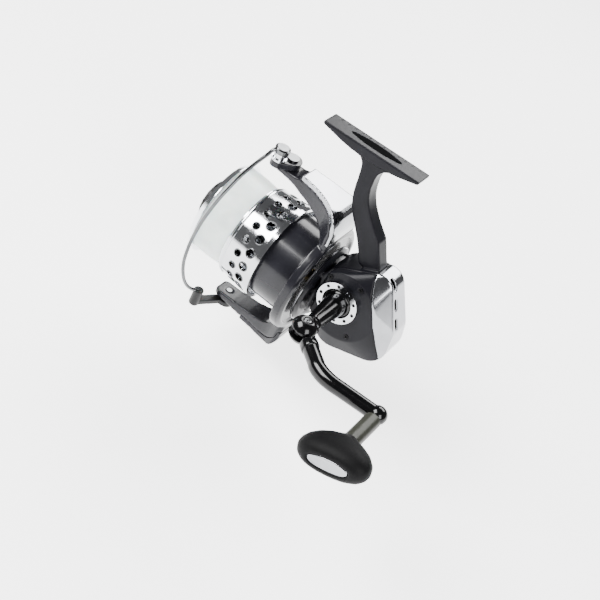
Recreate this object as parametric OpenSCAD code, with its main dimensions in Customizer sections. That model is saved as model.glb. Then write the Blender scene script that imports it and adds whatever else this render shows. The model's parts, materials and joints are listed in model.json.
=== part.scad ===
// Long-cast front-drag spinning reel with a folding crank.
// +X points to the angler, -Y to the handle side, +Z up to the rod.
// The origin is the centre of the foot's rod-contact face.

/* [Foot and stem] */
// Length of the reel foot
foot_len = 72; // [60:1:80]
// Width of the reel foot
foot_w = 15; // [12:1:18]
// Distance from foot face to spool axis
axis_drop = 112.9; // [100:0.1:130]
// Tilt of the spool axis
tilt = 4.1; // [0:0.1:8]

/* [Spool] */
// Radius of the front lip
lip_r = 35.9; // [30:0.1:42]
// Radius of the skirt at its rear
skirt_r = 37.2; // [32:0.1:44]
// Holes in one row of the skirt
skirt_holes = 20; // [10:1:30]
// Radius of the spool shaft
shaft_r = 3; // [2:0.5:4]

/* [Drive] */
// Station of the handle axis along the spool axis
gear_s = 23.8; // [18:0.1:30]
// Height of the handle axis above the spool axis
gear_n = 11.6; // [9:0.1:14]
// Teeth on the drive gear
gear_teeth = 41; // [30:1:50]
// Teeth on the pinion
pinion_teeth = 10; // [8:1:14]
// Radius of the gear axle
axle_r = 4; // [3:0.5:5]

/* [Handle] */
// Distance of the fold pin from the centre plane
hub_y = 60; // [50:1:70]
// Crank radius along X
crank_x = 71.5; // [60:0.5:85]

/* [Bail] */
// Station of the bail pivot along the spool axis
bail_s = -54; // [-60:1:-48]
// Thickness of the bail wire
wire_d = 2.5; // [1.5:0.1:3.5]

/* [Hidden] */
$fn = 48;
hub_x = gear_s * cos(tilt) + gear_n * sin(tilt);
hub_z = -axis_drop - gear_s * sin(tilt) + gear_n * cos(tilt);
crank_out = 23;
seam = 51;
wall = 2.4;
osc_s = 31.6;
osc_n = -6;
spur_m = 0.8;
osc_dir = atan2(osc_n - gear_n, osc_s - gear_s);
osc_turn = osc_dir + 180 + 180 / 32;
bail_tilt = 60;
wire_pts = [[17.2, 75], [21, 70], [27, 62], [33, 52], [37, 43], [42, 30], [46.2, 14], [48.2, -2],
            [48.2, -14], [46.8, -27], [43, -39], [38, -48], [32, -53.5], [25, -56]];

// Places children in the spool frame: X along the spool axis, Z upwards.
module spin() {
  translate([0, 0, -axis_drop]) rotate([0, tilt, 0]) children();
}

// Cylinder along X between two stations.
module rod_x(x0, x1, r) {
  translate([x0, 0, 0]) rotate([0, 90, 0]) cylinder(h = x1 - x0, r = r);
}

// Cone along X between two stations.
module cone_x(x0, x1, r0, r1) {
  translate([x0, 0, 0]) rotate([0, 90, 0]) cylinder(h = x1 - x0, r1 = r0, r2 = r1);
}

// Ring along X.
module ring_x(x0, x1, r, bore) {
  difference() {
    rod_x(x0, x1, r);
    rod_x(x0 - 1, x1 + 1, bore);
  }
}

// Cylinder along Y between two positions at a station and height.
module rod_y(s, n, y0, y1, r) {
  translate([s, y0, n]) rotate([-90, 0, 0]) cylinder(h = y1 - y0, r = r);
}

// The two parallel guide lines of the slider, as rods of radius r.
module guide_lines(x0, x1, r) {
  for (n = [-7, -11.5]) {
    translate([0, 0, n]) rod_x(x0, x1, r);
  }
}

// Outline of the gear case, drawn in by g all round.
module case_body(g) {
  cone_x(2 + g, 8.5, 30 - g, 20 - g);
  hull() {
    rod_y(27, 9, -17 + g, 17 - g, 25 - g);
    rod_y(50, -4, -11 + g, 11 - g, 17 - g);
    rod_y(54, 8, -9 + g, 9 - g, 11 - g);
    rod_y(40, 33, -8 + g, 8 - g, 11 - g);
    rod_y(28, -16, -13 + g, 13 - g, 12 - g);
  }
}

// Everything behind the rear cover's seam plane.
module behind_seam(shift) {
  rotate([0, -29.6, 0]) translate([seam + shift, -40, -80]) cube([60, 80, 160]);
}

// Space taken by the near side cover.
module side_region(g) {
  difference() {
    translate([8.8 + g, -40, -40]) cube([60, 31 - g, 83 - g]);
    behind_seam(-g);
  }
}

// Flat spur wheel drawn in the XY plane.
module spur(teeth, m, turn) {
  r = teeth * m / 2;
  circle(r = r - m);
  for (i = [0 : teeth - 1]) {
    rotate(i * 360 / teeth + turn) polygon([[r - 1.2 * m, -0.9 * m], [r - 1.2 * m, 0.9 * m],
                                     [r + 0.6 * m, 0.38 * m], [r + 0.6 * m, -0.38 * m]]);
  }
}

// Points of the bail wire in the spool frame.
function bail_pt(p) = [bail_s - p[0] * cos(bail_tilt), -p[0] * sin(bail_tilt), p[1]];

// Smooth curve through an open chain of points, keeping its two ends.
function soft(p, n = 2) = n == 0 ? p : soft(concat([p[0]],
  [for (i = [0 : len(p) - 2]) each [p[i] * 0.75 + p[i + 1] * 0.25, p[i] * 0.25 + p[i + 1] * 0.75]],
  [p[len(p) - 1]]), n - 1);

// Round bar between two points.
module bar(a, b, r) {
  v = b - a;
  len = norm(v);
  translate(a) rotate([0, acos(v[2] / len), atan2(v[1], v[0])]) cylinder(h = len, r = r);
}

module body_frame() {
  color([0.16, 0.16, 0.18]) {
    spin() difference() {
      case_body(0);
      case_body(wall);
      side_region(0);
      behind_seam(0);
      rod_x(0, 10, 14);
      rod_y(gear_s, gear_n, 10, 20, 8);
      guide_lines(8, 24, 1.12);
    }
    spin() ring_x(2, 5.2, 17, 14);
    spin() ring_x(5.2, 8.6, 17, 9.6);
    spin() difference() {
      intersection() {
        translate([54, -2.5, -14.5]) cube([2, 20, 10.5]);
        case_body(1);
      }
      guide_lines(50, 60, 1.12);
    }
    spin() difference() {
      rod_y(osc_s, osc_n, 12, 15.5, 4.6);
      rod_y(osc_s, osc_n, 11, 14.8, 2.56);
    }
    spin() difference() {
      rod_y(gear_s, gear_n, 12, 16, 10.5);
      rod_y(gear_s, gear_n, 11, 20, 8);
    }
    difference() {
      translate([0, 5.5, 0]) rotate([90, 0, 0]) linear_extrude(11)
        polygon(concat(
          soft([[-14, -5], [-3.5, -9], [-1.8, -20], [-0.8, -35], [3.3, -46], [10.6, -56],
                [17, -66], [22, -77]], 3),
          soft([[40, -80], [44.5, -72], [33.4, -59.6], [19, -45.4], [11, -34], [8.6, -23],
                [9.5, -10], [22, -5]], 3)));
      spin() case_body(1.2);
      spin() behind_seam(0);
    }
    difference() {
      translate([0, foot_w / 2, 0]) rotate([90, 0, 0]) linear_extrude(foot_w)
        polygon(concat([[-foot_len / 2, 0], [foot_len / 2, 0]],
                       soft([[foot_len / 2, -2.2], [16, -7], [-12, -7.6], [-foot_len / 2, -2.2]])));
      foot_pocket();
      for (i = [0 : 11]) {
        translate([-30 + i * 5.45, 5, -0.5]) cylinder(h = 2, r = 0.8, $fn = 16);
      }
    }
  }
}

// Lens-shaped pocket in the foot face.
module foot_pocket() {
  translate([0, 0, -1.5]) linear_extrude(3) intersection() {
    translate([0, 62]) circle(r = 65, $fn = 96);
    translate([0, -62]) circle(r = 65, $fn = 96);
  }
}

module foot_pad() {
  color([0.05, 0.05, 0.05]) translate([0, 0, -1.5]) linear_extrude(1.5) intersection() {
    translate([0, 62]) circle(r = 65, $fn = 96);
    translate([0, -62]) circle(r = 65, $fn = 96);
  }
}

module side_cover() {
  color([0.2, 0.2, 0.22]) spin() {
    difference() {
      intersection() {
        case_body(0);
        side_region(0);
      }
      case_body(wall);
      rod_y(gear_s, gear_n, -20, -8, 8);
      rod_y(11, 24, -20, -8, 1.6);
      rod_y(33, 30, -20, -8, 1.6);
      rod_y(40, -8, -20, -8, 1.6);
    }
    difference() {
      rod_y(gear_s, gear_n, -17, -12.5, 10.5);
      rod_y(gear_s, gear_n, -20, -8, 8);
    }
  }
}

module rear_cover() {
  color([0.75, 0.76, 0.78]) spin() difference() {
    intersection() {
      case_body(0);
      behind_seam(0);
    }
    case_body(wall);
    rotate([0, -29.6, 0]) {
      for (k = [-1 : 1]) {
        translate([seam + 5, -6, 14.2 * k - 6]) cube([9, 3, 8]);
      }
    }
  }
}

module side_ring() {
  color([0.85, 0.85, 0.87]) spin() difference() {
    rod_y(gear_s, gear_n, -20, -17, 15);
    rod_y(gear_s, gear_n, -21, -16, 10.8);
    for (i = [0 : 9]) {
      translate([gear_s, 0, gear_n]) rotate([0, i * 36, 0]) rod_y(12.9, 0, -21, -19.2, 1.3);
    }
  }
}

module cover_screws() {
  color([0.1, 0.1, 0.1]) spin() {
    for (p = [[11, 24], [33, 30], [40, -8]]) {
      difference() {
        rod_y(p[0], p[1], -17.2, -13, 1.6);
        rod_y(p[0], p[1], -18, -16.2, 0.7);
      }
    }
  }
}

module far_cap() {
  color([0.3, 0.3, 0.32]) spin() difference() {
    union() {
      rod_y(gear_s, gear_n, 17, 20, 14);
      rod_y(gear_s, gear_n, 16.6, 17, 8);
    }
    rod_y(gear_s, gear_n, 19, 21, 5);
  }
}

module gear_bearings() {
  color([0.7, 0.7, 0.72]) spin() {
    for (y = [-16.5, 12.4]) {
      difference() {
        rod_y(gear_s, gear_n, y, y + 4, 8);
        rod_y(gear_s, gear_n, y - 1, y + 5, axle_r + 0.05);
      }
    }
  }
}

module pinion_bearing() {
  color([0.7, 0.7, 0.72]) spin() ring_x(5.2, 8.6, 9.6, 5.05);
}

module clutch_shell() {
  color([0.55, 0.55, 0.58]) spin() ring_x(1.4, 5.2, 14, 11);
}

module clutch_rollers() {
  color([0.7, 0.7, 0.72]) spin() {
    for (i = [0 : 7]) {
      rotate([i * 45, 0, 0]) translate([0, 0, 9.6]) rod_x(1.8, 4.8, 1.4);
    }
  }
}

module bearing_plate() {
  color([0.6, 0.6, 0.62]) spin() ring_x(0.6, 1.4, 16.5, 8);
}

module guide_rods() {
  color([0.8, 0.8, 0.82]) spin() {
    guide_lines(8.6, 56, 1.1);
  }
}

module collar_rim() {
  color([0.6, 0.6, 0.62]) spin() ring_x(0.8, 2, 30, 27);
}

module handle_shaft() {
  color([0.04, 0.04, 0.05]) translate([0, -18.3, 0]) spin_hub() {
    rotate([90, 0, 0]) cylinder(h = 34, r1 = 9, r2 = 5.3);
  }
}

// Places children on the handle axis.
module spin_hub() {
  translate([hub_x, 0, hub_z]) children();
}

module drive_gear() {
  color([0.72, 0.6, 0.3]) spin() {
    rod_y(gear_s, gear_n, -18.3, 16.4, axle_r);
    rod_y(gear_s, gear_n, -9.4, -7.4, 14.8);
    rod_y(gear_s, gear_n, -7.4, 3, 5.4);
    translate([gear_s, -5.9, gear_n]) rotate([90, 0, 0]) linear_extrude(1.5) {
      for (i = [0 : gear_teeth - 1]) {
        rotate(i * 360 / gear_teeth) translate([10.4, -0.45]) square([4.4, 0.9]);
      }
    }
    translate([gear_s, 10.4, gear_n]) rotate([90, 0, 0]) linear_extrude(2.4)
      spur(16, spur_m, osc_dir);
  }
}

module handle_hub() {
  color([0.05, 0.05, 0.06]) spin_hub() translate([0, -hub_y, 0]) difference() {
    intersection() {
      sphere(r = 9.6, $fn = 64);
      translate([-10, -10, -8.6]) cube([20, 20, 17.2]);
    }
    translate([-11, -11, -3]) cube([22, 17.5, 6]);
    translate([0, 0, -10]) cylinder(h = 20, r = 2);
    rotate([90, 0, 0]) translate([0, 0, -20]) cylinder(h = 12.3, r = 12);
  }
}

module crank_arm() {
  tip = [crank_x, -crank_out, 0];
  elbow = [30, -24.6, 0];
  dir = [cos(39.8), -sin(39.8), 0];
  color([0.05, 0.05, 0.06]) spin_hub() translate([0, -hub_y, 0]) {
    difference() {
      union() {
        translate([0, 0, -2.7]) cylinder(h = 5.4, r = 6);
        intersection() {
          bar(dir * 0, dir * 13, 4.4);
          translate([0, -30, -2.7]) cube([40, 40, 5.4]);
        }
      }
      translate([0, 0, -4]) cylinder(h = 8, r = 2.06);
    }
    bar(dir * 10.4, dir * 17, 6.1);
    difference() {
      union() {
        hull() {
          translate(dir * 16) sphere(r = 5.4, $fn = 32);
          translate(elbow) sphere(r = 5.4, $fn = 32);
        }
        hull() {
          translate(elbow) sphere(r = 5.4, $fn = 32);
          translate(tip - [3, 0, 0]) sphere(r = 4.8, $fn = 32);
        }
        hull() translate(tip) sphere(r = 6.2, $fn = 40);
      }
      translate(tip) rotate([90, 0, 0]) translate([0, 0, -2]) cylinder(h = 12, r = 2);
    }
  }
}

module fold_pin() {
  color([0.7, 0.7, 0.72]) spin_hub() translate([0, -hub_y, -8.6]) cylinder(h = 17.2, r = 2);
}

module knob_spindle() {
  color([0.7, 0.7, 0.72]) spin_hub() translate([crank_x, -hub_y - crank_out, 0])
    rotate([90, 0, 0]) translate([0, 0, -2]) cylinder(h = 56, r = 2);
}

// Places children at the knob with their Z pointing outwards.
module at_knob(out) {
  spin_hub() translate([crank_x, -hub_y - crank_out - out, 0]) rotate([90, 0, 0]) children();
}

module knob_sleeve() {
  color([0.32, 0.31, 0.26]) at_knob(6.6) difference() {
    cylinder(h = 26.4, r = 5.5);
    translate([0, 0, -1]) cylinder(h = 30, r = 2.06);
  }
}

// Oval outline of the knob, drawn in by g.
module knob_oval(g) {
  rotate(16) hull() {
    translate([-13, 0]) circle(r = 11 - g);
    translate([13, 0]) circle(r = 11 - g);
  }
}

module knob_grip() {
  color([0.06, 0.06, 0.06]) at_knob(33) difference() {
    hull() {
      cylinder(h = 1, r = 6.5);
      translate([0, 0, 9]) linear_extrude(12) knob_oval(0);
      translate([0, 0, 24]) linear_extrude(2) knob_oval(4.5);
    }
    translate([0, 0, -1]) cylinder(h = 23.5, r = 2.06);
    translate([0, 0, 25]) linear_extrude(3) rotate(16) knob_inset(0);
  }
}

// Slim oval recess in the outer face of the knob.
module knob_inset(g) {
  hull() {
    translate([-9, 0]) circle(r = 3.9 - g);
    translate([9, 0]) circle(r = 3.9 - g);
  }
}

module knob_plate() {
  color([0.8, 0.8, 0.82]) at_knob(58) linear_extrude(0.8) rotate(16) knob_inset(0);
}

module rotor() {
  color([0.2, 0.2, 0.22]) spin() {
    difference() {
      union() {
        rod_x(-34, -3, 32.5);
        rod_x(-7.5, -2, 41.5);
        cone_x(-2, -0.2, 41.5, 39);
      }
      rod_x(-40, -7, 30.4);
      rod_x(-10, 1, 5.02);
      rod_x(-2, 1, 36);
    }
    difference() {
      rod_x(-10, -2, 12);
      rod_x(-11, 1, 5.02);
    }
    rotor_arm(1);
    mirror([0, 0, 1]) rotor_arm(0);
  }
}

// One rotor arm above the skirt.  The lower arm is the slimmer one.
module rotor_arm(top) {
  difference() {
    arm_outline(top) translate([0, 20, 0]) rotate([90, 0, 0]) linear_extrude(40)
      polygon(top == 1
        ? concat([[-0.5, 36]],
                 soft([[-0.5, 50], [-8, 61], [-24, 64.8], [-40, 65], [-43, 61.8], [-61, 61.8]]),
                 soft([[-62, 58], [-46, 57], [-38, 54.6], [-24, 51], [-12, 45], [-6, 37]]))
        : concat([[-0.5, 36]], soft([[-0.5, 50], [-10, 63], [-34, 63.5], [-61, 61.5]]),
                 soft([[-62, 57.5], [-44, 56.5], [-24, 54], [-14, 49], [-7, 37]])));
    rod_x(-70, 1, 36.5);
    translate([bail_s, 0, 50]) cylinder(h = 20, r = 2.06);
    if (top == 1) {
      arm_panel();
    } else {
      lower_panel();
    }
  }
}

// Trims an arm piece to the arm's width, which grows towards the rotor cup.
module arm_outline(top) {
  side = soft(top == 1 ? [[-4, 18], [-14, 11.5], [-30, 8], [-48, 7.4], [-61, 7.4], [-63, 2]]
                       : [[-4, 16], [-14, 10.5], [-32, 8], [-48, 7.6], [-61, 7.6], [-63, 2]]);
  far = [for (i = [len(side) - 1 : -1 : 0]) [side[i][0], -side[i][1]]];
  intersection() {
    children();
    translate([0, 0, 30]) linear_extrude(50)
      polygon(concat([[1, side[0][1]]], side, far, [[1, far[len(far) - 1][1]]]));
  }
}

// Line on which the upper cover sits against its arm.
upper_seat = soft([[-40, 63.4], [-24, 63], [-9, 59], [-2.5, 51], [-2.5, 41]]);
// Line on which the lower cover sits against its arm.
lower_seat = soft([[-36, 61.5], [-12, 61], [-3, 51], [-3, 44]]);

// Room taken out of the upper arm for its cover.
module arm_panel() {
  translate([0, 20, 0]) rotate([90, 0, 0]) linear_extrude(40)
    polygon(concat(upper_seat, [[2, 41], [2, 70], [-40, 70]]));
}

// Room taken out of the lower arm for its cover.
module lower_panel() {
  translate([0, 20, 0]) rotate([90, 0, 0]) linear_extrude(40)
    polygon(concat(lower_seat, [[2, 44], [2, 70], [-36, 70]]));
}

module pinion_gear() {
  color([0.72, 0.6, 0.3]) spin() {
    difference() {
      union() {
        rod_x(-14, 9.2, 5);
        rod_x(9.2, 16.5, 4.4);
        translate([9.2, 0, 0]) rotate([0, 90, 0]) linear_extrude(7.3) {
          for (i = [0 : pinion_teeth - 1]) {
            rotate(i * 360 / pinion_teeth) translate([4, -0.6]) square([1.5, 1.2]);
          }
        }
      }
      rod_x(-15, 18, shaft_r + 0.06);
    }
  }
}

module clutch_sleeve() {
  color([0.6, 0.6, 0.62]) spin() ring_x(0.2, 5, 7.6, 5);
}

module rotor_nut() {
  color([0.7, 0.7, 0.72]) spin() difference() {
    translate([-13.5, 0, 0]) rotate([0, 90, 0]) cylinder(h = 3.5, r = 9, $fn = 6);
    rod_x(-15, -9, 5);
  }
}

module arm_cover() {
  color([0.75, 0.76, 0.78]) spin() difference() {
    arm_outline(1) translate([0, 20, 0]) rotate([90, 0, 0]) linear_extrude(40)
      polygon(concat(upper_seat,
                     soft([[-0.4, 41], [-0.4, 53], [-5, 62], [-22, 66.6], [-40, 67]])));
    translate([bail_s, 0, 50]) cylinder(h = 20, r = 3);
  }
}

module lower_arm_cover() {
  color([0.6, 0.6, 0.62]) spin() mirror([0, 0, 1]) arm_outline(0)
    translate([0, 20, 0]) rotate([90, 0, 0]) linear_extrude(40)
      polygon(concat(lower_seat, soft([[-0.6, 44], [-0.6, 53], [-8, 64.6], [-36, 65.2]])));
}

module bail_lever() {
  color([0.18, 0.18, 0.2]) spin() difference() {
    hull() {
      translate([bail_s, 0, 62.4]) cylinder(h = 4.8, r = 7);
      translate(bail_pt([11, 62.4])) cylinder(h = 4.8, r = 4.5);
    }
    translate([bail_s, 0, 60]) cylinder(h = 15, r = 2.0);
    translate(bail_pt([11, 60])) cylinder(h = 20, r = 1.5);
  }
}

module line_roller() {
  color([0.85, 0.85, 0.87]) spin() translate(bail_pt([11, 67.5])) difference() {
    union() {
      cylinder(h = 1.4, r = 5.2);
      translate([0, 0, 1.4]) cylinder(h = 3, r = 4);
      translate([0, 0, 4.4]) cylinder(h = 1.4, r = 5.2);
    }
    translate([0, 0, -1]) cylinder(h = 9, r = 1.56);
  }
}

module roller_cap() {
  color([0.8, 0.8, 0.82]) spin() translate(bail_pt([11, 0])) {
    translate([0, 0, 62.4]) cylinder(h = 12, r = 1.5);
    translate([0, 0, 73.6]) cylinder(h = 2.6, r = 5.2);
    translate([0, 0, 76.2]) cylinder(h = 0.8, r1 = 5.2, r2 = 4);
  }
}

module bail_wire() {
  pts = [for (p = wire_pts) bail_pt(p)];
  color([0.8, 0.8, 0.82]) spin() {
    bar(bail_pt([12, 75.2]), pts[0], wire_d / 2);
    for (i = [0 : len(pts) - 2]) {
      translate(pts[i]) sphere(r = wire_d / 2 + 0.04, $fn = 24);
      bar(pts[i], pts[i + 1], wire_d / 2);
    }
  }
}

module bail_holder() {
  color([0.08, 0.08, 0.08]) spin() difference() {
    union() {
      translate([bail_s, 0, -68]) cylinder(h = 4, r = 7);
      translate([bail_s, 0, -66]) rotate([0, 0, 180 + bail_tilt]) translate([0, -3, -1.9])
        cube([24, 6, 3.8]);
      translate(bail_pt([25, -68.4])) cylinder(h = 13.4, r = 3.6);
    }
    translate([bail_s, 0, -75]) cylinder(h = 20, r = 2.0);
    bar(bail_pt([32, -53.5]), bail_pt([24.6, -56.2]), wire_d / 2);
  }
}

module bail_screws() {
  color([0.75, 0.75, 0.77]) spin() {
    translate([bail_s, 0, 57.5]) cylinder(h = 9.7, r = 2);
    translate([bail_s, 0, 67.2]) cylinder(h = 1.6, r = 4.2);
    translate([bail_s, 0, -68]) cylinder(h = 11, r = 2);
    translate([bail_s, 0, -69.8]) cylinder(h = 1.8, r = 4);
  }
}

module osc_gear() {
  color([0.6, 0.6, 0.62]) spin() {
    translate([osc_s, 10.4, osc_n]) rotate([90, 0, 0]) linear_extrude(2.4)
      spur(32, spur_m, osc_turn);
    rod_y(osc_s, osc_n, 10.4, 14.4, 2.5);
    rod_y(osc_s - 9, osc_n, 7.3, 8.2, 1.3);
  }
}

// Turn that puts an osc gear gap opposite a drive tooth.

module main_shaft() {
  color([0.75, 0.75, 0.77]) spin() rod_x(-84, 30, shaft_r);
}

module cross_slider() {
  color([0.5, 0.5, 0.53]) spin() difference() {
    union() {
      translate([24, -4.5, -14]) cube([6, 9, 19]);
      translate([18.6, 4.5, -17.4]) cube([8, 2.4, 22.8]);
    }
    rod_x(20, 40, shaft_r);
    guide_lines(8, 60, 1.2);
    translate([21.1, 5.6, -16.6]) cube([3, 3, 21.2]);
  }
}

module shaft_washer() {
  color([0.75, 0.75, 0.77]) spin() ring_x(-36, -34.6, 7, shaft_r);
}

module spool_core() {
  color([0.8, 0.82, 0.84]) spin() difference() {
    union() {
      rod_x(-82, -57.4, 24);
      cone_x(-86, -82.4, 33.6, lip_r);
      rod_x(-82.4, -82, lip_r);
      rod_x(-58.4, -57.4, 34.2);
      rod_x(-58, -38, 10);
    }
    rod_x(-90, -30, shaft_r + 0.06);
    rod_x(-90, -70, 16);
  }
}

module spool_skirt() {
  color([0.85, 0.86, 0.88]) spin() difference() {
    union() {
      cone_x(-57.4, -34, 34.75, 36.6);
      rod_x(-34, -31, skirt_r);
    }
    cone_x(-56.2, -30.9, 33.2, 34.9);
    rod_x(-58, -55, 10);
    for (i = [0 : skirt_holes - 1]) {
      a = i * 360 / skirt_holes;
      rotate([a, 0, 0]) translate([-39.5, 0, 20]) cylinder(h = 30, r = 3.1, $fn = 24);
      rotate([a + 180 / skirt_holes, 0, 0]) translate([-47.4, 0, 20])
        cylinder(h = 30, r = 2.4, $fn = 24);
    }
  }
}

module wound_line() {
  color([0.92, 0.92, 0.88]) spin() difference() {
    cone_x(-82, -58.4, 33.4, 32.2);
    rod_x(-83, -57, 24);
  }
}

module line_clip() {
  color([0.75, 0.75, 0.77]) spin() rotate([-60, 0, 0]) translate([-54.5, 0, 34.6])
    rotate([0, 4, 0]) cylinder(h = 2.4, r = 2);
}

module drag_washers() {
  color([0.35, 0.3, 0.25]) spin() {
    for (i = [0 : 4]) {
      ring_x(-72 - 2 * i, -70 - 2 * i, 15.4 - 0.4 * (i % 2), 5);
    }
  }
}

module washer_clip() {
  color([0.75, 0.75, 0.77]) spin() ring_x(-81.2, -80.1, 16, 13);
}

module drag_knob() {
  color([0.1, 0.1, 0.11]) spin() difference() {
    union() {
      rod_x(-95, -86.6, 14);
      rod_x(-86.6, -83, 12.4);
      for (i = [0 : 11]) {
        rotate([i * 30, 0, 0]) translate([0, 0, 14]) rod_x(-94, -87, 1.6);
      }
    }
    rod_x(-90, -80, shaft_r + 0.3);
    rod_x(-96, -93.6, 10);
  }
}

module drag_cap() {
  color([0.6, 0.06, 0.06]) spin() rod_x(-95.4, -93.6, 10);
}

body_frame();
foot_pad();
side_cover();
rear_cover();
side_ring();
cover_screws();
far_cap();
gear_bearings();
pinion_bearing();
clutch_shell();
clutch_rollers();
bearing_plate();
guide_rods();
collar_rim();
handle_shaft();
drive_gear();
handle_hub();
crank_arm();
fold_pin();
knob_spindle();
knob_sleeve();
knob_grip();
knob_plate();
rotor();
pinion_gear();
clutch_sleeve();
rotor_nut();
arm_cover();
lower_arm_cover();
bail_lever();
roller_cap();
bail_wire();
bail_holder();
bail_screws();
line_roller();
osc_gear();
main_shaft();
cross_slider();
shaft_washer();
spool_core();
spool_skirt();
wound_line();
line_clip();
drag_washers();
washer_clip();
drag_knob();
drag_cap();
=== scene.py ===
"""Long-cast spinning reel: materials, fine shapes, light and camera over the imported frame."""
import json
import math

import bpy
import bmesh
from mathutils import Matrix, Vector


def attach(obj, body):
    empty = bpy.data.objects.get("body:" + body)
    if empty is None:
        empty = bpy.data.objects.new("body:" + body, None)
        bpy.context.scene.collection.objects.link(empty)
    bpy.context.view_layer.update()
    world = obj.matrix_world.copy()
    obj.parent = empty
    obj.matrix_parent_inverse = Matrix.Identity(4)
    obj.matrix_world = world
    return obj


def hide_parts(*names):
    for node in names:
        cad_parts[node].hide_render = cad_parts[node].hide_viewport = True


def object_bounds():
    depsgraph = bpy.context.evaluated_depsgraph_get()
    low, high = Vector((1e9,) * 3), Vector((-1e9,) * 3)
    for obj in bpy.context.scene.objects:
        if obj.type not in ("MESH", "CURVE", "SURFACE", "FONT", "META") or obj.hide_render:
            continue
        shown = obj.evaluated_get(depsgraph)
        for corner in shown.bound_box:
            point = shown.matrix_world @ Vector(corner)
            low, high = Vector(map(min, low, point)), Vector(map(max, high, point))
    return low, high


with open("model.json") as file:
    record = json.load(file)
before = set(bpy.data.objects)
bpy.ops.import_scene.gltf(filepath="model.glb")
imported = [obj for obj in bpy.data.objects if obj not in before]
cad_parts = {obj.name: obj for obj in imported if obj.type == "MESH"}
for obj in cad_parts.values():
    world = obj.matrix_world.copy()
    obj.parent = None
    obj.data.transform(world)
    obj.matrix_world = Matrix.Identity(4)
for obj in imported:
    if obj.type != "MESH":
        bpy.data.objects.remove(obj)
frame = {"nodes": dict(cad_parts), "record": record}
cad_low, cad_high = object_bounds()
nodes = frame["nodes"]

MM = 0.001
AXIS_DROP = 112.9
TILT = math.radians(4.1)
SPIN = Matrix.Translation((0, 0, -AXIS_DROP)) @ Matrix.Rotation(TILT, 4, "Y")
GEAR_S, GEAR_N = 23.8, 11.6
HUB = SPIN @ Vector((GEAR_S, 0, GEAR_N)) + Vector((0, -60, 0))
HANDLE_AXIS = Vector((HUB.x, 0, HUB.z))
CRANK_X, CRANK_OUT = 71.5, 23.0
BEND = math.radians(39.8)  # between the crank's neck and the length direction
KNOB_TURN = math.radians(16)
BAIL_S, BAIL_LEAN = -54.0, math.radians(60)
WIRE_R = 1.25
RING_DOTS, RING_DOT_R, RING_DOT_REACH, RING_DOT_Y = 10, 1.15, 12.9, -19.35
SKIRT_HOLES = 20
SKIRT_LEAN = math.atan2(36.6 - 34.75, 23.4)
LINE_TURNS, LINE_WIDTH = 58, 23.4
QUARTER = math.radians(90)
UPRIGHT = Matrix.Rotation(-QUARTER, 4, "Y")  # turns X into Z


# ---------- materials ----------

def noise(tree, scale, detail=4.0, stretch=None):
    """Noise in object space, in cycles per metre, optionally stretched."""
    coord = tree.nodes.new("ShaderNodeTexCoord")
    tex = tree.nodes.new("ShaderNodeTexNoise")
    tex.inputs["Scale"].default_value = scale
    tex.inputs["Detail"].default_value = detail
    if stretch:
        mapping = tree.nodes.new("ShaderNodeMapping")
        mapping.inputs["Scale"].default_value = stretch
        tree.links.new(coord.outputs["Object"], mapping.inputs["Vector"])
        tree.links.new(mapping.outputs["Vector"], tex.inputs["Vector"])
    else:
        tree.links.new(coord.outputs["Object"], tex.inputs["Vector"])
    return tex.outputs["Fac"]


def ramp(tree, fac, low, high):
    """A colour that runs from low to high with the factor."""
    node = tree.nodes.new("ShaderNodeValToRGB")
    node.color_ramp.elements[0].position = 0.3
    node.color_ramp.elements[1].position = 0.7
    node.color_ramp.elements[0].color = (*low, 1)
    node.color_ramp.elements[1].color = (*high, 1)
    tree.links.new(fac, node.inputs["Fac"])
    return node.outputs["Color"]


def spread(tree, fac, low, high):
    """A value that runs from low to high with the factor."""
    node = tree.nodes.new("ShaderNodeMapRange")
    node.inputs["To Min"].default_value = low
    node.inputs["To Max"].default_value = high
    tree.links.new(fac, node.inputs["Value"])
    return node.outputs["Result"]


def bump(tree, bsdf, fac, strength, depth):
    """Raises the surface by the factor, over a depth in metres."""
    node = tree.nodes.new("ShaderNodeBump")
    node.inputs["Strength"].default_value = strength
    node.inputs["Distance"].default_value = depth
    tree.links.new(fac, node.inputs["Height"])
    tree.links.new(node.outputs["Normal"], bsdf.inputs["Normal"])


def finish(name, dark, light, rough, metal=0.0, coat=0.0, grain=900.0, grain_depth=0.00002,
           grain_strength=0.3, tone=60.0, stretch=None, shine=0.5):
    """A surface with tone variation, uneven roughness and a fine grain."""
    mat = bpy.data.materials.new(name)
    mat.use_nodes = True
    tree = mat.node_tree
    bsdf = tree.nodes["Principled BSDF"]
    bsdf.inputs["Metallic"].default_value = metal
    bsdf.inputs["Coat Weight"].default_value = coat
    bsdf.inputs["Specular IOR Level"].default_value = shine
    bsdf.inputs["Coat Roughness"].default_value = 0.06
    tree.links.new(ramp(tree, noise(tree, tone), dark, light), bsdf.inputs["Base Color"])
    tree.links.new(spread(tree, noise(tree, tone * 5), *rough), bsdf.inputs["Roughness"])
    bump(tree, bsdf, noise(tree, grain, 3.0, stretch), grain_strength, grain_depth)
    return mat


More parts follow.
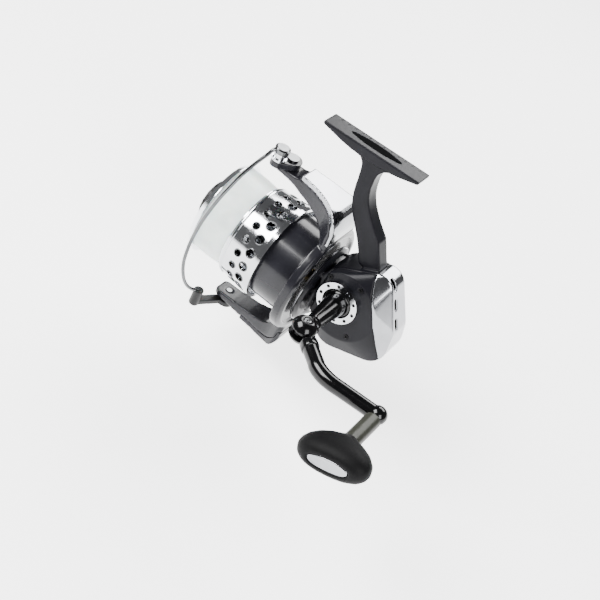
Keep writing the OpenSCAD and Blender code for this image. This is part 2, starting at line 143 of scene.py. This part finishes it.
MATERIALS = {
    "graphite": finish("graphite_paint", (0.0035, 0.0035, 0.0048), (0.006, 0.006, 0.008),
                       (0.26, 0.36), coat=0.02, grain=3600, grain_depth=0.000003, shine=0.09),
    "silver": finish("silver_paint", (0.27, 0.275, 0.29), (0.34, 0.345, 0.36),
                     (0.10, 0.17), metal=1.0, coat=0.1, grain=3600, grain_depth=0.000002),
    "chrome_trim": finish("chrome_plate", (0.50, 0.51, 0.53), (0.58, 0.59, 0.61),
                          (0.06, 0.13), metal=1.0, grain=1500, grain_depth=0.000006),
    "dark_screw": finish("dark_screw_steel", (0.003, 0.003, 0.003), (0.006, 0.006, 0.007),
                         (0.3, 0.5), metal=0.3, shine=0.1, grain=3000),
    "bearing_steel": finish("bearing_steel_finish", (0.45, 0.45, 0.47), (0.6, 0.6, 0.62),
                            (0.15, 0.3), metal=1.0, grain=2500),
    "gloss_black": finish("gloss_black_enamel", (0.0010, 0.0010, 0.0012), (0.002, 0.002, 0.0022),
                          (0.10, 0.17), shine=0.3, grain=700, grain_depth=0.000012),
    "gear_brass": finish("gear_brass_cut", (0.55, 0.40, 0.16), (0.70, 0.54, 0.25),
                         (0.2, 0.4), metal=1.0, grain=2500),
    "bright_steel": finish("bright_steel_drawn", (0.09, 0.093, 0.096), (0.14, 0.143, 0.146),
                           (0.14, 0.24), metal=1.0, grain=3500, grain_depth=0.000008),
    "olive_sleeve": finish("olive_sleeve_anodised", (0.018, 0.019, 0.015), (0.028, 0.029, 0.023),
                           (0.25, 0.36), metal=0.1, shine=0.15, grain=4000, grain_depth=0.00001),
    "grip_rubber": finish("grip_rubber_moulded", (0.0008, 0.0008, 0.0010), (0.0016, 0.0016, 0.0019),
                          (0.50, 0.64), shine=0.09, grain=2600, grain_depth=0.00006,
                          grain_strength=0.45),
    "rotor_grey": finish("rotor_grey_gloss", (0.006, 0.006, 0.008), (0.011, 0.011, 0.014),
                         (0.16, 0.25), coat=0.08, shine=0.22, grain=3600, grain_depth=0.000002),
    "black_plastic": finish("black_plastic_moulded", (0.002, 0.002, 0.0024),
                            (0.004, 0.004, 0.0045), (0.34, 0.5), shine=0.25, grain=3200,
                            grain_depth=0.00003),
    # foot_inlay: near-black, very rough, almost sheenless: painted shade standing in for the shadow
    # in the recess at the foot's mount
    "foot_inlay": finish("foot_recess_painted_shade", (0.001, 0.001, 0.0012), (0.002, 0.002, 0.0024),
                         (0.7, 0.85), shine=0.02, grain=3200, grain_depth=0.00003),
    "white_polymer": finish("white_polymer_gear", (0.60, 0.60, 0.56), (0.72, 0.72, 0.68),
                            (0.35, 0.5), grain=2500),
    "cast_alloy": finish("cast_alloy_block", (0.40, 0.40, 0.42), (0.55, 0.55, 0.57),
                         (0.4, 0.6), metal=0.9, grain=1800, grain_depth=0.00005),
    "spool_alloy": finish("spool_alloy_polished", (0.66, 0.68, 0.70), (0.78, 0.80, 0.82),
                          (0.07, 0.15), metal=1.0, grain=3000, grain_depth=0.000008),
    "drag_fibre": finish("drag_fibre_woven", (0.05, 0.04, 0.03), (0.14, 0.11, 0.08),
                         (0.7, 0.9), grain=3500, grain_depth=0.00008),
    "red_accent": finish("red_accent_gloss", (0.20, 0.002, 0.003), (0.28, 0.004, 0.005),
                         (0.28, 0.38), shine=0.15, grain=2500),
    "nylon_line": finish("nylon_line_wound", (0.70, 0.72, 0.69), (0.82, 0.83, 0.80),
                         (0.24, 0.38), coat=0.25, grain=1500, grain_depth=0.00006,
                         tone=140, stretch=(8, 1, 1)),
}
MATERIALS["nylon_line"].node_tree.nodes["Principled BSDF"].inputs[
    "Subsurface Weight"].default_value = 0.25

slot_of = {s["node"]: s["material_slot"] for s in frame["record"]["subparts"]}
for name, obj in nodes.items():
    obj.data.materials.clear()
    obj.data.materials.append(MATERIALS[slot_of[name]])


# ---------- mesh helpers ----------

def piece(name, verts, faces, body, slot, place, replaced=()):
    """Makes a mesh piece from millimetre points, in the body that it rides on."""
    mesh = bpy.data.meshes.new(name)
    mesh.from_pydata([tuple((place @ Vector(v)) * MM) for v in verts], [], faces)
    build = bmesh.new()
    build.from_mesh(mesh)
    bmesh.ops.recalc_face_normals(build, faces=build.faces)
    build.to_mesh(mesh)
    build.free()
    mesh.polygons.foreach_set("use_smooth", [True] * len(mesh.polygons))
    obj = bpy.data.objects.new(name, mesh)
    bpy.context.scene.collection.objects.link(obj)
    obj.data.materials.append(MATERIALS[slot])
    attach(obj, body)
    if replaced:
        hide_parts(*replaced)
    return obj


def loft(rings, closed_ends=True, loop=False):
    """Faces that join rings of equal length into a skin."""
    count = len(rings[0])
    verts = [p for ring in rings for p in ring]
    faces = []
    last = len(rings) if loop else len(rings) - 1
    for i in range(last):
        a, b = i * count, ((i + 1) % len(rings)) * count
        for j in range(count):
            k = (j + 1) % count
            faces.append((a + j, a + k, b + k, b + j))
    if closed_ends and not loop:
        faces.append(tuple(reversed(range(count))))
        faces.append(tuple(range((len(rings) - 1) * count, len(rings) * count)))
    return verts, faces


def lathe(profile, segments=96, loop=True):
    """A turned solid about X from (station, radius) pairs."""
    rings = []
    for x, r in profile:
        ring = []
        for j in range(segments):
            a = 2 * math.pi * j / segments
            ring.append((x, r * math.cos(a), r * math.sin(a)))
        rings.append(ring)
    return loft(rings, closed_ends=not loop, loop=loop)


def smooth_path(points, steps=8):
    """Catmull-Rom curve through the points."""
    pts = [Vector(p) for p in points]
    ext = [2 * pts[0] - pts[1]] + pts + [2 * pts[-1] - pts[-2]]
    out = []
    for i in range(1, len(ext) - 2):
        p0, p1, p2, p3 = ext[i - 1:i + 3]
        for k in range(steps):
            t = k / steps
            out.append(0.5 * ((2 * p1) + (p2 - p0) * t + (2 * p0 - 5 * p1 + 4 * p2 - p3) * t * t
                              + (3 * p1 - p0 - 3 * p2 + p3) * t ** 3))
    return out + [pts[-1]]


def tube(path, radii, segments=32):
    """A skin round a path, with one radius for each point."""
    rings = []
    normal = None
    for i, p in enumerate(path):
        ahead = path[min(i + 1, len(path) - 1)] - path[max(i - 1, 0)]
        ahead.normalize()
        if normal is None:
            normal = ahead.orthogonal().normalized()
        normal = (normal - ahead * normal.dot(ahead)).normalized()
        side = ahead.cross(normal)
        r = radii[i] if isinstance(radii, list) else radii
        rings.append([p + r * (math.cos(2 * math.pi * j / segments) * normal
                               + math.sin(2 * math.pi * j / segments) * side)
                      for j in range(segments)])
    return loft(rings)


def merge(*parts):
    """Several (verts, faces) skins as one."""
    verts, faces = [], []
    for v, f in parts:
        base = len(verts)
        verts += list(v)
        faces += [tuple(i + base for i in face) for face in f]
    return verts, faces


def moved(part, matrix):
    """A skin with every point put through the matrix."""
    verts, faces = part
    return [matrix @ Vector(v) for v in verts], faces


def soften(obj, voxel, rounds):
    """Rounds a cast part's edges, as the mould does."""
    remesh = obj.modifiers.new("cast", "REMESH")
    remesh.mode = "VOXEL"
    remesh.voxel_size = voxel * MM
    remesh.use_smooth_shade = True
    smooth = obj.modifiers.new("round", "SMOOTH")
    smooth.factor = 0.5
    smooth.iterations = rounds


def edge(obj, width):
    """A small rounded edge on a machined part."""
    bevel = obj.modifiers.new("edge", "BEVEL")
    bevel.width = width * MM
    bevel.segments = 2
    bevel.limit_method = "ANGLE"
    bevel.angle_limit = math.radians(35)


# ---------- cast and moulded CAD parts ----------

for name, voxel, rounds in [("body_frame", 0.6, 8), ("rotor", 0.7, 5), ("rear_cover", 0.6, 4),
                            ("side_cover", 0.6, 3), ("arm_cover", 0.5, 5),
                            ("lower_arm_cover", 0.5, 5), ("bail_lever", 0.35, 4),
                            ("bail_holder", 0.35, 4), ("handle_hub", 0.35, 3),
                            ("drag_knob", 0.4, 3)]:
    soften(nodes[name], voxel, rounds)
for name in ("side_ring", "spool_core", "far_cap", "roller_cap", "bail_screws", "line_roller",
             "knob_sleeve"):
    edge(nodes[name], 0.35)

# ---------- handle ----------

def on_handle(y):
    """Turns X into the outward handle direction, from the given y."""
    return (Matrix.Translation(HANDLE_AXIS + Vector((0, y, 0)))
            @ Matrix.Rotation(-QUARTER, 4, "Z"))


sleeve = [(0, 0.5), (0, 10.2), (1.0, 10.2), (1.2, 9.3), (1.6, 8.6), (3, 8.3), (10, 7.5), (20, 6.3),
          (29, 5.45), (31.5, 5.3), (32.2, 5.7), (34, 5.7), (34, 0.5)]
piece("handle_cone", *lathe(sleeve, 64), "crank", "gloss_black", on_handle(-18.3),
      ["handle_shaft"])

out_dir = Vector((math.cos(BEND), -math.sin(BEND), 0))
elbow = Vector((30.0, -24.6, 0))
tip = Vector((CRANK_X, -CRANK_OUT, 0))
arm_line = ([out_dir * d for d in (15.5, 19, 24, 28, 32.5)]
            + [elbow + Vector((1.0, 1.3, 0)), elbow + Vector((8, 0.3, 0))]
            + [elbow + Vector((x, 0.04 * x, 0)) for x in (15, 24, 34)] + [tip])
arm_path = smooth_path(arm_line, 6)
arm_radii = [5.35 + 0.25 * math.exp(-((i / len(arm_path) - 0.42) / 0.16) ** 2)
             - 0.35 * (i / len(arm_path)) for i in range(len(arm_path))]
neck_path = [out_dir * d for d in (6.5, 10.2, 10.5, 11, 12, 15.6, 16.4, 17, 17.2)]
neck_radii = [2.6, 2.6, 5.2, 5.8, 6.0, 6.0, 5.9, 5.4, 4.2]
ball = []
for k in range(25):
    a = math.pi * k / 24
    ball.append((-6.2 * math.cos(a), max(6.2 * math.sin(a), 0.01)))
tongue = [(-2.7, 2.06), (-2.7, 5.6), (-2.3, 6.0), (2.3, 6.0), (2.7, 5.6), (2.7, 2.06)]
piece("crank_tube", *merge(tube(arm_path, arm_radii), tube(neck_path, neck_radii),
                           moved(lathe(ball, 48, loop=False), Matrix.Translation(tip)),
                           moved(lathe(tongue, 48), UPRIGHT)),
      "arm", "gloss_black", Matrix.Translation(HUB), ["crank_arm"])
piece("fold_pin_head", *lathe([(0, 0.1), (0, 2.6), (0.35, 2.6), (0.6, 2.2), (0.6, 0.1)], 32),
      "crank", "bright_steel", Matrix.Translation(HUB + Vector((0, 0, 8.2))) @ UPRIGHT)

# ---------- knob ----------

KNOB_PLACE = (Matrix.Translation(HUB + Vector((CRANK_X, -CRANK_OUT, 0)))
              @ Matrix.Rotation(QUARTER, 4, "X") @ Matrix.Rotation(KNOB_TURN, 4, "Z"))


def oval(half_long, half_wide, z, count=72, power=2.35):
    """A squarish oval ring of points at a height."""
    ring = []
    for j in range(count):
        a = 2 * math.pi * j / count
        c, s = math.cos(a), math.sin(a)
        ring.append((half_long * math.copysign(abs(c) ** (2 / power), c),
                     half_wide * math.copysign(abs(s) ** (2 / power), s), z))
    return ring


grip = [(5.4, 5.4, 33.0), (6.4, 6.4, 33.4), (7.6, 7.2, 35.0), (10.5, 8.4, 37.0),
        (15.5, 9.8, 39.4), (19.6, 10.6, 42.2), (22.4, 10.95, 45.6), (23.5, 11.0, 49.2),
        (23.3, 10.8, 52.4), (22.0, 10.0, 55.2), (19.6, 8.6, 57.4), (17.0, 7.0, 58.6),
        (15.0, 5.6, 59.0), (13.9, 4.7, 58.9), (13.5, 4.35, 58.4), (13.4, 4.3, 57.6)]
piece("knob_grip_moulded", *loft([oval(*r) for r in grip]), "knob", "grip_rubber", KNOB_PLACE,
      ["knob_grip"])
inset = [(13.2, 4.15, 57.7), (13.2, 4.15, 58.5), (12.7, 3.75, 58.8), (11.5, 3.0, 58.85),
         (11.3, 2.85, 58.7), (8.0, 1.8, 58.75)]
piece("knob_inset_plate", *loft([oval(*r) for r in inset]), "knob", "silver", KNOB_PLACE,
      ["knob_plate"])

# ---------- spool ----------

line_profile = [(-58.4, 24.2), (-58.4, 32.2)]
for i in range(LINE_TURNS * 4 + 1):
    t = i / (LINE_TURNS * 4)
    ridge = 0.10 * math.cos(2 * math.pi * i / 4)
    belly = 0.45 * math.sin(math.pi * t)
    line_profile.append((-58.5 - LINE_WIDTH * t, 32.2 + 1.0 * t + belly + ridge))
line_profile += [(-82, 33.0), (-82, 24.2)]
piece("line_turns", *lathe(line_profile, 120), "spool", "nylon_line", SPIN, ["wound_line"])

rim_parts = []
for i in range(SKIRT_HOLES):
    for row, station, size, height in ((0, -39.5, 3.1, 36.17), (1, -47.4, 2.4, 35.55)):
        angle = (i + 0.5 * row) * 2 * math.pi / SKIRT_HOLES
        ring = [(-0.1, size - 0.05), (0.22, size), (0.30, size + 0.28), (0.2, size + 0.55),
                (-0.1, size + 0.62)]
        spot = (Matrix.Rotation(angle, 4, "X") @ Matrix.Translation((station, 0, height))
                @ Matrix.Rotation(-SKIRT_LEAN, 4, "Y") @ UPRIGHT)
        rim_parts.append(moved(lathe(ring, 28), spot))
piece("skirt_hole_rims", *merge(*rim_parts), "spool", "bright_steel", SPIN)
piece("skirt_front_band", *lathe([(-57.5, 34.3), (-57.5, 35.0), (-57.1, 35.3), (-55.6, 35.3),
                                  (-55.3, 35.0), (-55.3, 34.3)], 120),
      "spool", "chrome_trim", SPIN)

# ---------- side ring ----------

# Dark discs on the ring's face: painted shade standing in for the shaded hollows of the ring's
# dimples
dots = []
for i in range(RING_DOTS):
    spot = (SPIN @ Matrix.Translation((GEAR_S, 0, GEAR_N))
            @ Matrix.Rotation(2 * math.pi * i / RING_DOTS, 4, "Y")
            @ Matrix.Translation((RING_DOT_REACH, RING_DOT_Y, 0))
            @ Matrix.Rotation(QUARTER, 4, "Z"))
    dots.append(moved(lathe([(0, 0.05), (0, RING_DOT_R), (0.2, RING_DOT_R), (0.2, 0.05)], 24),
                      spot))
piece("ring_dimple_painted_shade", *merge(*dots), "housing", "dark_screw", Matrix.Identity(4))

# ---------- bail ----------

def bail_point(p):
    """A point of the bail from its distance to the pivot and its height, in the spool frame."""
    return Vector((BAIL_S - p[0] * math.cos(BAIL_LEAN), -p[0] * math.sin(BAIL_LEAN), p[1]))


wire = [(12, 75.2), (17.2, 75), (21, 70), (27, 62), (33, 52), (37, 43), (42, 30), (46.2, 14),
        (48.2, -2), (48.2, -14), (46.8, -27), (43, -39), (38, -48), (32, -53.5), (25, -56)]
piece("bail_wire_drawn", *tube(smooth_path([bail_point(p) for p in wire], 8), WIRE_R, 24),
      "bail", "bright_steel", SPIN, ["bail_wire"])

# ---------- camera, light and floor ----------

camera = bpy.data.objects.new("camera", bpy.data.cameras.new("camera"))
bpy.context.scene.collection.objects.link(camera)
camera.data.sensor_width = 36
camera.data.lens = 71.43
camera.data.clip_end = 20
across = Vector((0.78592, 0.53347, 0.31262))
upward = Vector((-0.56361, 0.41013, 0.71703))
backward = Vector((0.25430, -0.73973, 0.62300))
pose = Matrix((across, upward, backward)).transposed().to_4x4()
pose.translation = Vector((0.20144, -0.60379, 0.37321))
camera.matrix_world = pose
bpy.context.scene.camera = camera


def lamp(name, spot, size, power):
    """A rectangular soft lamp aimed at the middle of the reel."""
    data = bpy.data.lights.new(name, "AREA")
    data.shape = "RECTANGLE"
    data.size, data.size_y = size
    data.energy = power
    obj = bpy.data.objects.new(name, data)
    bpy.context.scene.collection.objects.link(obj)
    obj.location = spot
    obj.rotation_euler = (Vector((0, 0, -0.1)) - Vector(spot)).to_track_quat("-Z", "Y").to_euler()


lamp("key", (-0.75, -0.55, 0.95), (1.0, 0.7), 60)
lamp("fill", (0.95, -0.75, 0.5), (0.6, 0.9), 22)
lamp("rim", (0.1, 0.95, 0.75), (1.2, 0.5), 30)

world = bpy.data.worlds.new("studio")
bpy.context.scene.world = world
world.use_nodes = True
wt = world.node_tree
sky = wt.nodes.new("ShaderNodeTexGradient")
coords = wt.nodes.new("ShaderNodeTexCoord")
turn = wt.nodes.new("ShaderNodeMapping")
turn.inputs["Rotation"].default_value = (0, QUARTER, 0)
turn.inputs["Location"].default_value = (0.5, 0, 0)
turn.inputs["Scale"].default_value = (0.5, 0.5, 0.5)
shades = wt.nodes.new("ShaderNodeValToRGB")
shades.color_ramp.elements[0].color = (1.0, 1.0, 1.0, 1)
shades.color_ramp.elements[1].color = (0.45, 0.45, 0.46, 1)
wt.links.new(coords.outputs["Generated"], turn.inputs["Vector"])
wt.links.new(turn.outputs["Vector"], sky.inputs["Vector"])
wt.links.new(sky.outputs["Fac"], shades.inputs["Fac"])
wt.links.new(shades.outputs["Color"], wt.nodes["Background"].inputs["Color"])
wt.nodes["Background"].inputs["Strength"].default_value = 0.3

FLOOR_Z = cad_low.z - 0.03
FLOOR_HALF = 6
floor_mesh = bpy.data.meshes.new("floor")
floor_mesh.from_pydata([(x * FLOOR_HALF, y * FLOOR_HALF, FLOOR_Z)
                        for x, y in ((-1, -1), (1, -1), (1, 1), (-1, 1))], [], [(0, 1, 2, 3)])
floor = bpy.data.objects.new("floor", floor_mesh)
bpy.context.scene.collection.objects.link(floor)
paper = finish("floor_paper", (0.90, 0.90, 0.90), (0.92, 0.92, 0.92), (0.8, 0.9),
               grain=400, tone=3, shine=0.1)
glow = paper.node_tree.nodes["Principled BSDF"].inputs
glow["Emission Color"].default_value = (1, 1, 1, 1)
glow["Emission Strength"].default_value = 1.8
floor_mesh.materials.append(paper)
